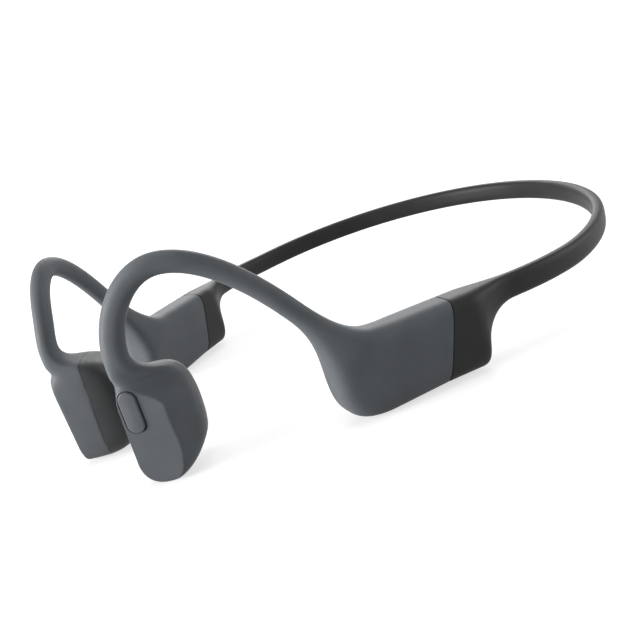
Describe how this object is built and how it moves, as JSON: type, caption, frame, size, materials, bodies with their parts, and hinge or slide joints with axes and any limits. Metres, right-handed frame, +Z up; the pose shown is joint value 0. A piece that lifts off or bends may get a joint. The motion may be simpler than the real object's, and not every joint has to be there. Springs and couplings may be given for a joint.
{
  "type": "bone conduction headphones",
  "caption": "Open-ear bone conduction headphones: a springy neckband joins two pods, ear hooks and driver heads whose pads press on the cheekbones.",
  "frame": {"origin": "middle of the footprint, on the table that the headphones lie on", "axes": "+Z up, -Y toward the drivers and the way the wearer faces, +X toward the wearer's left"},
  "size_m": [0.1044, 0.1392, 0.0404],
  "materials": {
    "grey_silicone": "soft matte silicone",
    "black_silicone": "soft matte silicone",
    "button_rubber": "soft matte silicone",
    "case_plastic": "moulded",
    "spring_metal": "drawn wire or strip",
    "lead_jacket": "insulated lead",
    "cell_wrap": "foil pouch",
    "board_green": "solder mask",
    "yoke_steel": "plated steel",
    "magnet_metal": "nickel plated",
    "coil_copper": "enamelled copper",
    "contact_gold": "gold plated",
    "clear_plastic": "clear moulded"
  },
  "bodies": {
    "right_side": {"neckband_skin": "black_silicone", "neckband_wire": "spring_metal", "neckband_lead": "lead_jacket", "right_arm_skin": "grey_silicone", "right_hook_wire": "spring_metal", "right_hook_lead": "lead_jacket", "right_pod_case_outer": "case_plastic", "right_pod_case_inner": "case_plastic", "main_board": "board_green", "shield_can": "yoke_steel", "volume_up_switch": "case_plastic", "volume_down_switch": "case_plastic", "charge_port_plate": "case_plastic", "charge_contact_front": "contact_gold", "charge_contact_rear": "contact_gold", "status_light": "clear_plastic", "right_skin_pad": "black_silicone", "right_voice_coil": "coil_copper", "right_leaf_spring": "spring_metal"},
    "left_side": {"left_arm_skin": "grey_silicone", "left_hook_wire": "spring_metal", "left_hook_lead": "lead_jacket", "left_pod_case_outer": "case_plastic", "left_pod_case_inner": "case_plastic", "battery_cell": "cell_wrap", "battery_board": "board_green", "main_switch": "case_plastic", "left_skin_pad": "black_silicone", "left_voice_coil": "coil_copper", "left_leaf_spring": "spring_metal"},
    "multifunction_button": {"multifunction_button": "button_rubber"},
    "volume_up_button": {"volume_up_button": "button_rubber"},
    "volume_down_button": {"volume_down_button": "button_rubber"},
    "left_motor": {"left_yoke": "yoke_steel", "left_magnet": "magnet_metal"},
    "right_motor": {"right_yoke": "yoke_steel", "right_magnet": "magnet_metal"}
  },
  "joints": [
    {"name": "band_flex", "type": "hinge", "parent": "right_side", "child": "left_side", "pos_m": [0, 0.0682, 0.0163], "axis": [0, 0, 1], "range_deg": [0, 55], "stiffness_Nm_per_rad": 0.15, "deforming": ["neckband_skin", "neckband_wire", "neckband_lead"]},
    {"name": "multifunction_press", "type": "slide", "parent": "left_side", "child": "multifunction_button", "axis": [-0.666, 0.742, 0.0767], "range_m": [0, 0.0003], "stiffness_N_per_m": 2000},
    {"name": "volume_up_press", "type": "slide", "parent": "right_side", "child": "volume_up_button", "axis": [0, 0, 1], "range_m": [0, 0.0003], "stiffness_N_per_m": 2000},
    {"name": "volume_down_press", "type": "slide", "parent": "right_side", "child": "volume_down_button", "axis": [0, 0, 1], "range_m": [0, 0.0003], "stiffness_N_per_m": 2000},
    {"name": "left_motor_shake", "type": "slide", "parent": "left_side", "child": "left_motor", "axis": [0.7183, -0.6957, 0], "range_m": [-0.0001, 0.0001], "stiffness_N_per_m": 3000},
    {"name": "right_motor_shake", "type": "slide", "parent": "right_side", "child": "right_motor", "axis": [-0.7183, -0.6957, 0], "range_m": [-0.0001, 0.0001], "stiffness_N_per_m": 3000}
  ]
}
